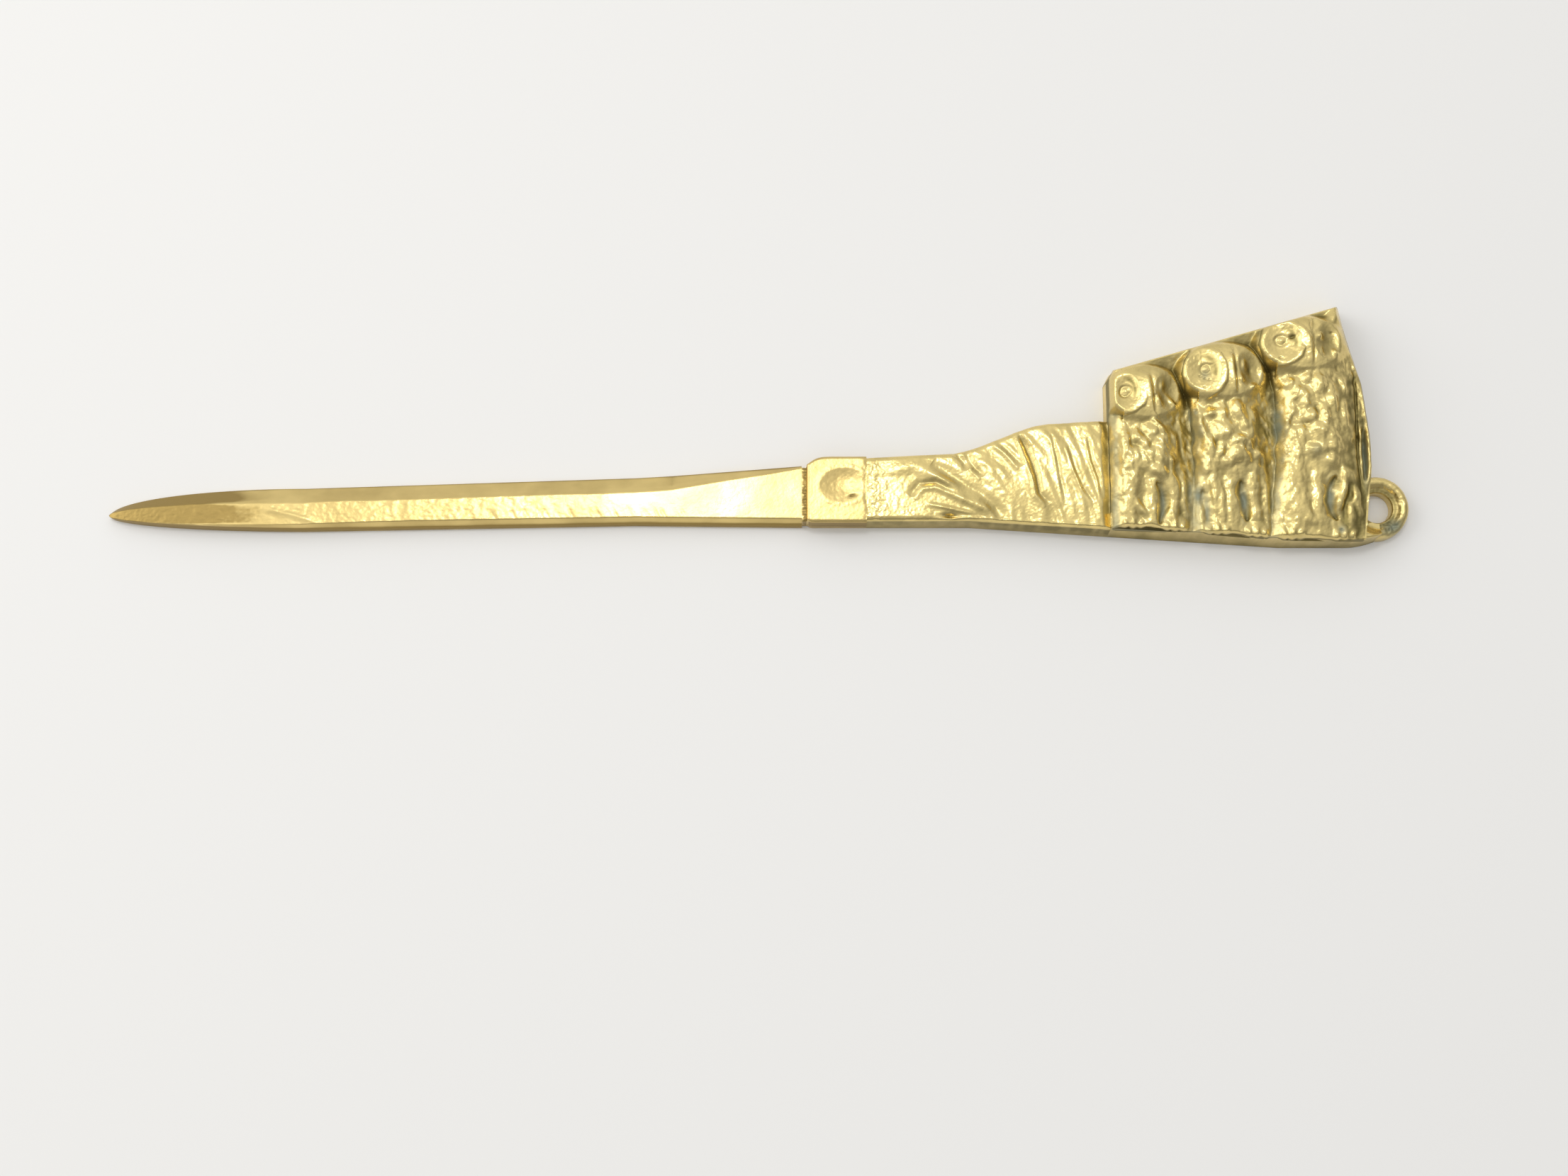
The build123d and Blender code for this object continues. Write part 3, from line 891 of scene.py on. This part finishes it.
largeOwl = {
    "name": "largeOwl",
    "node": "large_owl",
    "columns": 170,
    "leftSide": 0.13,
    "turn": 0.2,
    "broad": 0.5,
    # painted shade on its far flank
    "farFlankPaintedShade": 0.35,
    "brow": 9.05,
    "head": ((80.9, 28.9), (7.0, 4.9)),
    "discs": (((77.0, 28.7), (3.1, 3.5), 0.8, 0.5), ((84.6, 29.2), (2.6, 3.3), 1.1, -0.6)),
    "eye": (77.0, 29.1),
    "ridges": (
        (0.24, ((74.6, 31.4, 0.2), (76.0, 32.1, 0.35), (77.6, 32.1, 0.4), (79.0, 31.6, 0.45),
            (80.2, 30.6, 0.5), (80.8, 29.4, 0.6), (81.2, 28.0, 0.6), (81.4, 26.4, 0.35),
            (81.4, 24.6, 0.35))),
        (0.24, ((80.2, 28.6, 0.3), (80.1, 27.7, 0.4), (79.6, 26.8, 0.45), (78.6, 25.9, 0.4),
            (77.2, 25.3, 0.35), (75.8, 25.3, 0.2))),
    ),
    "marks": (
        (83.3, 29.8, 0.65, 0.7, 0, 0.65), (85.7, 27.2, 0.5, 0.9, 31, 0.6),
        (83.4, 27.4, 0.45, 0.9, 0, 0.3), (82.4, 31.9, 0.7, 1.4, -10, -0.5),
        (78.6, 29.6, 0.5, 0.4, 0, -0.4), (86.4, 29.0, 0.6, 1.5, 0, 0.25),
        (82.1, 28.2, 0.4, 2.6, 0, -0.35),
    ),
    "crestY": (-4.0, 6.0, 9.0, 11.5, 16.0, 21.5, 24.0, 26.2, 29.0, 33.0, 40.0),
    "crestZ": (5.7, 6.2, 7.0, 7.9, 8.3, 8.3, 8.1, 7.4, 5.6, 3.8, 3.3),
    "swells": (
        (79.6, 20.3, 1.5, 1.2, -10, 0.7), (80.3, 18.8, 0.8, 1.5, 5, 0.4),
        (82.7, 21.9, 0.9, 1.9, 0, 0.5), (82.5, 14.0, 1.4, 1.3, 35, 0.75),
        (78.5, 18.0, 1.2, 1.5, 0, 0.3), (83.4, 16.8, 0.8, 1.4, 0, 0.4),
        (79.4, 13.6, 1.3, 1.5, 10, 0.4), (79.0, 11.0, 1.2, 1.4, 0, 0.35),
        (82.1, 11.2, 1.7, 1.3, 0, 0.35), (85.1, 19.4, 0.8, 1.8, 0, 0.4),
        (85.0, 12.3, 1.1, 1.7, 5, 0.35), (81.4, 16.6, 0.9, 1.2, 0, 0.3),
        (78.0, 22.3, 1.2, 1.2, 0, 0.3), (80.9, 22.9, 0.8, 1.2, 0, 0.35),
        (86.8, 17.0, 0.7, 2.2, 3, 0.35), (87.0, 22.0, 0.7, 1.8, 8, 0.3),
        (77.4, 15.4, 0.9, 2.0, 0, 0.3), (84.4, 9.4, 1.2, 1.1, 0, 0.3),
        (78.8, 4.4, 1.7, 5.8, 3, 0.95), (80.6, 0.9, 0.8, 1.8, 40, 0.6),
        (82.3, 3.4, 1.2, 4.6, 3, 0.4), (85.7, 3.2, 0.7, 1.4, -10, 0.6),
        (86.4, 5.0, 0.6, 2.0, -8, 0.6), (87.4, 7.3, 1.0, 1.3, 15, 0.8),
        (88.6, 3.4, 0.7, 2.8, 6, 0.7), (87.6, 1.0, 0.7, 2.4, 0, 0.6),
    ),
    "pockets": ((((85.2, 7.0), (84.3, 5.3), (83.9, 3.2), (84.4, 1.5), (85.2, 0.4)), 0.45, 1.0),),
    "feet": (78.2, 86.6),
    "pits": ((79.0, 29.7), (76.7, 26.2), (76.2, 23.6), (76.7, 21.6), (76.5, 19.4), (85.3, 30.6),
             (85.9, -1.4), (80.8, 15.6)),
    "bloom": (((84.4, 4.0), (0.8, 3.4), 1.0), ((76.5, 15.6), (0.9, 5.0), 1.1),
              ((85.9, -1.5), (0.7, 0.8), 0.9), ((82.0, 11.0), (1.2, 1.2), 0.4),
              ((90.3, 10.6), (0.5, 4.4), 1.2)),
    "ears": ((((84.6, 31.4), (85.9, 33.2), (87.0, 35.4)), 2.3, 7.0),),
    "wing": (  # its seam, the slot beside it and the rim: line, half width, height
        (((89.2, 24.6), (89.3, 19.7), (89.2, 15.6), (89.2, 9.3), (89.6, 5.6)), 0.3, -0.6),
        (((90.2, 15.2), (90.35, 11.0), (90.2, 7.0)), 0.32, -0.9),
        (((90.4, 22.0), (91.05, 15.5), (91.05, 9.3), (90.5, 5.8)), 0.35, 0.5),
    ),
}
owls = (smallOwl, middleOwl, largeOwl)


def furrow(index, y):
    # x of the furrow on the left of that bird
    waver = 0.0 if index in (0, 3) else 0.3 * noise(y, y * 0 + index, 2.2, 89)
    return np.interp(y, *zip(*owlForm["edges"][index])) + waver * (1 - ease(17, 20, y))


def towardsBeak(x, y, middle, half, r, upward):
    # highest at the upper right of a disc, which on the near one is beside the beak and the brow
    aside, above = 0.8 * (x - middle[0]) / half[0], upward * (y - middle[1]) / half[1]
    return (aside + above) / np.maximum(r, 0.2)


def owlHead(x, y, owl):
    # a rounded head with two soft dishes for the face, and slanting facets along rims and beak
    h = headForm
    (mx, my), (wide, tall) = owl["head"]
    u, v = (x - mx) / np.where(x < mx, h["leftWider"] * wide, wide), (y - my) / tall
    z = owl["brow"] - h["drop"] - np.where(u > 0, *h["acrossFall"]) * u**2
    z = z - np.where(v > 0, *h["upFall"]) * abs(v) ** 3
    rim = np.clip(np.hypot(u, v) - h["rim"], 0, None)
    rimFall = np.where(v > 0, *h["rimFall"]) * rim**1.35
    z = z - np.where(u < -0.6, h["leftRimFall"] * rim**1.8, rimFall)
    for line, width, top in owl.get("ears", ()):
        ear = h["earFloor"] + (top - h["earFloor"]) * stroke(x, y, line, width)
        z = softMax(z, ear, 0.6)
    for middle, half, depth, steep in owl["discs"]:
        r = oval(x, y, middle, half) * (1 + 0.06 * noise(x, y, 1.6, 92))
        power = h["dishPower"] - steep * towardsBeak(x, y, middle, half, r, 0.5)
        z = z - depth * np.clip(1 - r**2, 0, None) ** power
    eye = np.hypot(x - owl["eye"][0], y - owl["eye"][1]) * (1 + 0.16 * noise(x, y, 0.9, 90))
    for radius, width, height in h["eyeRings"]:
        z = z + height * bell(eye, radius, width)
    for px, py, across, up, lean, height in owl["marks"]:
        z = z + height * lump(x, y, (px, py), (across, up), lean)
    raised = np.zeros(x.shape)
    for slope, points in owl["ridges"]:
        spots = [point[:2] for point in points]
        lengths = np.cumsum([0] + [math.dist(a, b) for a, b in zip(spots, spots[1:])])
        d, side, share = fromLine(x, y, spots)
        width = np.interp(share, lengths / lengths[-1], [point[2] for point in points])
        width = (h["ridgeWide"] + 0.2 * noise(x, y, 1.1, 98)) * width
        fade = ease(0.0, 0.2, share) * ease(0.0, 0.2, 1 - share)
        climb = slope * np.clip(side + width, 0, None)
        raised = np.maximum(raised, climb * fade * bell(d, 0, width, 6))
    return z + raised


def owlBody(x, y, owl, index):
    f = owlForm
    left, right = furrow(index, y), furrow(index + 1, y)
    s = np.clip((x - left) / (right - left), 0, 1)
    crest = np.interp(y, owl["crestY"], owl["crestZ"])
    rise = np.sqrt(1 - (1 - np.clip(s / owl["leftSide"], 0, 1)) ** 2)
    above = ease(owl["crestY"][1], owl["crestY"][3], y)
    underHead = 1 - 0.35 * ease(-3.5, 0.0, y - owl["crestY"][7])
    away = 1 - (0.45 + 0.33 * above) * underHead * ease(owl["broad"], 1.04, s)
    middle = left + 0.5 * (right - left)
    leaning = owl["turn"] * np.clip(middle - x, 0, None)  # the breast is turned to the left
    z = f["sideFloor"] + (crest - f["sideFloor"]) * rise * away - leaning * above * rise
    wx = x + 0.2 * noise(x, y, 1.7, 94)
    wy = y + 0.2 * noise(x, y, 1.5, 95)
    swelling = np.zeros(x.shape)
    for px, py, wide, tall, lean, height in owl["swells"]:
        swelling = swelling + f["swellGain"] * height * lump(wx, wy, (px, py), (wide, tall), lean)
    z = z + f["swellTop"] * (1 - np.exp(-swelling / f["swellTop"]))
    flank = ease(0.55, 0.78, s) * (1 - ease(0.92, 1.0, s)) * ease(1.0, 4.0, y)
    z = z + flank * f["flankLines"] * noise(x + 0.12 * y, 0.25 * y, 0.65, 91)
    feathered = ease(owl["crestY"][2], owl["crestY"][2] + 2.0, y)
    barbs = f["barbs"] * noise(x + 0.25 * y, 0.5 * y, 0.5, 96)
    tufts = f["tufts"] * bumps(wx, wy, 1.5, 1.9, 97)
    z = z + feathered * (barbs + tufts - f["featherDrop"])
    z = z + f["fineTufts"] * bumps(wx, wy, 0.8, 1.15, 99)
    for line, width, depth in owl["pockets"]:
        d, _, share = fromLine(x, y, line)
        taper = 0.5 + 0.7 * np.sqrt(np.clip(share * (1 - share) * 4, 0, 1))
        edge = width * (1.1 + 0.3 * noise(x, y, 1.3, 102)) * taper
        z = z - 0.6 * depth * bell(d, 0, 1.25 * edge)
    up = y - baseLine(x)
    for footX in owl["feet"]:
        foot = dome(x, up, (footX, 1.9), (2.5, 1.9), 2.6)
        z = softMax(z, f["footFloor"] + (f["footHeight"] - f["footFloor"]) * foot, 0.15)
        for toe, long in f["toes"]:
            size = (0.52, 1.2 * long)
            z = z + f["toeRise"] * lump(x, up, (footX + toe, 1.0), size, -8 * toe)
    return z


def toeBulge(x):
    # how far the toes stand out over the perch
    reach = np.zeros(x.shape)
    for owl in owls:
        for footX in owl["feet"]:
            for toe, long in owlForm["toes"]:
                reach = np.maximum(reach, long * bell(x - footX, toe, 0.62))
    return owlForm["toeReach"] * reach


def roundedWall(away, reach, start):
    # a wall that stands up steeply and then rounds over
    return np.sqrt(np.clip(away, 0, reach) + start)


def owlRelief(x, y):
    f = owlForm
    z = np.full(x.shape, f["ground"])
    for index, owl in enumerate(owls):
        bird = softMax(owlBody(x, y, owl, index), owlHead(x, y, owl), 0.3)
        z = softMax(z, bird, 0.1)
        for spot in owl["pits"]:
            z = z - f["pitDepth"] * lump(x, y, spot, f["pitHalf"])
    for line, width, height in largeOwl["wing"]:
        z = z + height * stroke(x, y, line, width)
    underTop = plateTopY(x) - y
    z = softMax(z, 6.9 - 0.5 * underTop, 0.3)  # the slope behind the heads
    z = softMin(z, 3.1 + 4.0 * underTop, 0.25)  # and its wall along the top edge
    aside = x - handle["plateStart"]
    z = softMin(z, 3.5 + 4.2 * roundedWall(aside, 4, 0.002), 0.2)  # the left end
    corner = (1.9 * aside - (y - backPlate["leftTop"])) / 2.15
    z = softMin(z, 3.3 + 4.2 * roundedWall(corner, 4, 0.002), 0.2)  # its cut corner
    z = softMin(z, 3.1 + 2.2 * (plateSideX(y) - x), 0.15)  # the right side
    front = y - baseLine(x) - perchLip(x) + toeBulge(x)
    z = softMin(z, 4.35 + 2.4 * roundedWall(front, 8, 0.01), 0.1)  # over the perch
    return z + castSkin(x, y, 93, 0.05)


def owlPaintedShade(x, y):
    # painted shade: under the brow, on the far half of each face, on the far flank and between the
    # heads
    f = owlForm
    share = np.zeros(x.shape)
    for index, owl in enumerate(owls):
        (near, nearHalf, *_), (far, farHalf, *_) = owl["discs"]
        r = oval(x, y, near, nearHalf)
        under = f["browPaintedShade"] * ease(0.1, 0.9, towardsBeak(x, y, near, nearHalf, r, 0.6))
        share = np.maximum(share, under * bell(r, 0.72, 0.16))
        farFace = np.clip(1.2 - oval(x, y, far, farHalf) ** 2, 0, 1)
        share = np.maximum(share, f["farFacePaintedShade"] * farFace)
        left, right = furrow(index, y), furrow(index + 1, y)
        s = (x - left) / (right - left)
        flank = ease(0.6, 0.85, s) * (s < 1.0) * (1 - ease(-2, 2, y - owl["crestY"][6]))
        share = np.maximum(share, owl["farFlankPaintedShade"] * flank)
        if owl is not largeOwl:
            gap = f["betweenPaintedShade"] * bell(x - right, -0.2, 0.9)
            share = np.maximum(share, gap * ease(16, 19, y))
    return share


def owlFilm(x, y):
    # grey bloom at the foot of the walls between the birds, and in the pockets
    share = np.zeros(x.shape)
    for index, owl in enumerate(owls):
        wall = owlForm["wallBloom"] * bell(x - furrow(index, y), 0.5, 0.8, 4)
        share = np.maximum(share, wall * (1 - ease(16, 20, y)))
        for spot, half, strength in owl["bloom"]:
            share = np.maximum(share, strength * lump(x, y, spot, half))
    return share


def makeOwls():
    f = owlForm
    shared = {key: f[key] for key in ("slot", "crowd", "floor", "hollowReach", "wallPaintedShade")}

    def place(x, y):  # their feet follow the lip of the perch
        tucked = y + (baseLine(x) + perchLip(x)) * (1 - ease(3.0, 11.0, y))
        return tucked - toeBulge(x) * (1 - ease(0.0, 1.6, y))

    for index, owl in enumerate(owls):
        # their painted shade is added to the tarnish of the hollows
        sketch = {**owl, **shared, "darkening": owlPaintedShade}
        tallest = plateTopY(furrow(index + 1, np.array(40.0))) - 0.45
        runs = np.arange(0.0, tallest, f["step"])
        low = np.maximum(furrow(index, runs), plateTopX(runs + 0.4))
        edges = (low, np.maximum(furrow(index + 1, runs), low + 0.03))
        upright = (0 * low, 0 * low)
        reliefPiece(sketch, runs, edges, upright, owlRelief, castBrass, owlFilm, "y", place)


hangingLoop = {
    "name": "hangingLoop",
    "node": "hanging_loop",
    "slot": "cast_brass",
    "thickness": 3.0,
    "turns": 220,
    "sectionSteps": 72,
    "patch": ((95.0, -0.4), (2.1, 1.1), 28),  # eaten away and stained
    "patchDepth": 0.6,
    "stain": ((93.4, -1.0), (2.2, 0.9)),
    "grooveRadius": 2.9,
    "grooveDull": 0.35,
    "section": (  # radius and height round the ring's section, from the back of the bore
        (2.4, 0.0), (2.4, 0.6), (2.4, 1.4), (2.45, 1.8), (2.62, 2.05), (2.9, 2.15), (3.2, 2.25),
        (3.5, 2.55), (3.8, 2.85), (4.1, 2.97), (4.4, 2.95), (4.7, 2.75), (4.95, 2.4), (5.1, 1.9),
        (5.18, 1.3), (5.2, 0.6), (5.2, 0.0), (4.3, 0.0), (3.3, 0.0),
    ),
}


def makeLoop():
    b = hangingLoop
    section = np.array(b["section"])
    closed = np.concatenate([section, section[:1]])
    walk = np.concatenate([[0], np.cumsum(np.hypot(*np.diff(closed, axis=0).T))])
    steps = np.linspace(0, walk[-1], b["sectionSteps"] + 1)[:-1]
    radius, height = np.interp(steps, walk, closed[:, 0]), np.interp(steps, walk, closed[:, 1])
    angle = np.linspace(0, 2 * np.pi, b["turns"], endpoint=False)
    cx, cy = handle["loopMiddle"]
    x = cx + np.cos(angle)[:, None] * radius[None, :]
    y = cy + np.sin(angle)[:, None] * radius[None, :]
    lifted = ease(0.3, 1.5, height)[None, :]
    z = height[None, :] + lifted * castSkin(x, y, 95, 0.09)
    patch = lump(x, y, *b["patch"])
    z = z - b["patchDepth"] * lifted * patch * (1 + 0.5 * noise(x, y, 0.5, 97))
    z = np.clip(z, 0, b["thickness"] + 0.1)
    groove = b["grooveDull"] * bell(radius, b["grooveRadius"], 0.4)[None, :]
    hollowAndShade = 0.5 * patch + groove * lifted
    film = 1.1 * patch + 0.25 * lump(x, y, *b["stain"])
    points = np.stack([x, y, z], 2).reshape(-1, 3) * mm + np.array(shoulder)
    grid = np.arange(z.size).reshape(z.shape)
    ahead, beside = np.roll(grid, -1, 0), np.roll(grid, -1, 1)
    faces = np.stack([grid, ahead, np.roll(ahead, -1, 1), beside], 2).reshape(-1, 4).tolist()
    dulls = (hollowAndShade.reshape(-1), film.reshape(-1))
    addMesh(b["name"], points, faces, *dulls, castBrass, b["node"], b["slot"])


makeBlade()
makeBolster()
makeGrip()
makePlate()
makePerch()
makeOwls()
makeLoop()

studio = {
    "floorColour": "#F1EFEB",
    "floorSize": 3.0,
    "floorDrop": 0.00005,  # keeps it off the flat back
    "keyPlace": (-0.055, 0.15, 0.62),
    "keySize": 0.12,
    "keyPower": 0.55,
    "fillPlace": (-0.7, 0.25, 0.5),
    "fillSize": 0.7,
    "fillPower": 2.4,
    "skyColour": "#F4F5F6",
    "skyFrom": (-0.35, 0.5, 0.79),  # the soft light is strongest from here
    "skyWeakest": 0.32,
    "skyStrongest": 1.0,
}


def makeStudio():
    s = studio
    half = s["floorSize"] / 2
    mesh = bpy.data.meshes.new("floor")
    corners = [(-half, -half, 0), (half, -half, 0), (half, half, 0), (-half, half, 0)]
    mesh.from_pydata(corners, [], [(0, 1, 2, 3)])
    floor = bpy.data.objects.new("floor", mesh)
    floor.location.z = -s["floorDrop"]
    bpy.context.scene.collection.objects.link(floor)
    paper = bpy.data.materials.new("paleBoard")  # matt pale board
    paper.use_nodes = True
    shader = paper.node_tree.nodes["Principled BSDF"]
    shader.inputs["Base Color"].default_value = toLinear(s["floorColour"])
    shader.inputs["Roughness"].default_value = 0.8
    mesh.materials.append(paper)
    for name in ("key", "fill"):
        lamp = bpy.data.lights.new(name, "AREA")
        lamp.shape = "DISK"
        lamp.size = s[name + "Size"]
        lamp.energy = s[name + "Power"]
        light = bpy.data.objects.new(name, lamp)
        light.location = s[name + "Place"]
        light.rotation_euler = (-Vector(s[name + "Place"])).to_track_quat("-Z", "Y").to_euler()
        bpy.context.scene.collection.objects.link(light)
    world = bpy.data.worlds.new("studio")
    world.use_nodes = True
    sky = world.node_tree
    back = sky.nodes["Background"]
    back.inputs["Color"].default_value = toLinear(s["skyColour"])
    direction = addNode(sky, "ShaderNodeTexCoord").outputs["Generated"]
    facing = addNode(sky, "ShaderNodeVectorMath", {"operation": "DOT_PRODUCT"}, {0: direction})
    facing.inputs[1].default_value = s["skyFrom"]
    glow = addNode(
        sky, "ShaderNodeMapRange", {"interpolation_type": "SMOOTHSTEP"},
        {"Value": facing.outputs["Value"]},
        From_Min=-0.3, From_Max=1.0, To_Min=s["skyWeakest"], To_Max=s["skyStrongest"],
    )
    sky.links.new(glow.outputs["Result"], back.inputs["Strength"])
    bpy.context.scene.world = world


view = {
    "pictureWidth": 2212,
    "sensor": 36.0,
    "focalPixels": 2800.0,
    "distance": 320.0,
    "tilt": 10.0,  # from straight above, towards the perch
    "aim": (-2.87, -9.86),  # sketch point in the middle of the picture
}


def makeCamera():
    v = view
    data = bpy.data.cameras.new("camera")
    data.sensor_width = v["sensor"]
    data.lens = v["sensor"] * v["focalPixels"] / v["pictureWidth"]
    data.clip_start, data.clip_end = 0.01, 20
    camera = bpy.data.objects.new("camera", data)
    aim = Vector((v["aim"][0], v["aim"][1], 0)) * mm + Vector((shoulder[0], shoulder[1], 0))
    lean = math.radians(v["tilt"])
    back = Vector((0, -math.sin(lean), math.cos(lean)))
    camera.location = aim + back * v["distance"] * mm
    camera.rotation_euler = (lean, 0, 0)
    bpy.context.scene.collection.objects.link(camera)
    bpy.context.scene.camera = camera


makeStudio()
makeCamera()
print("studio and camera made")
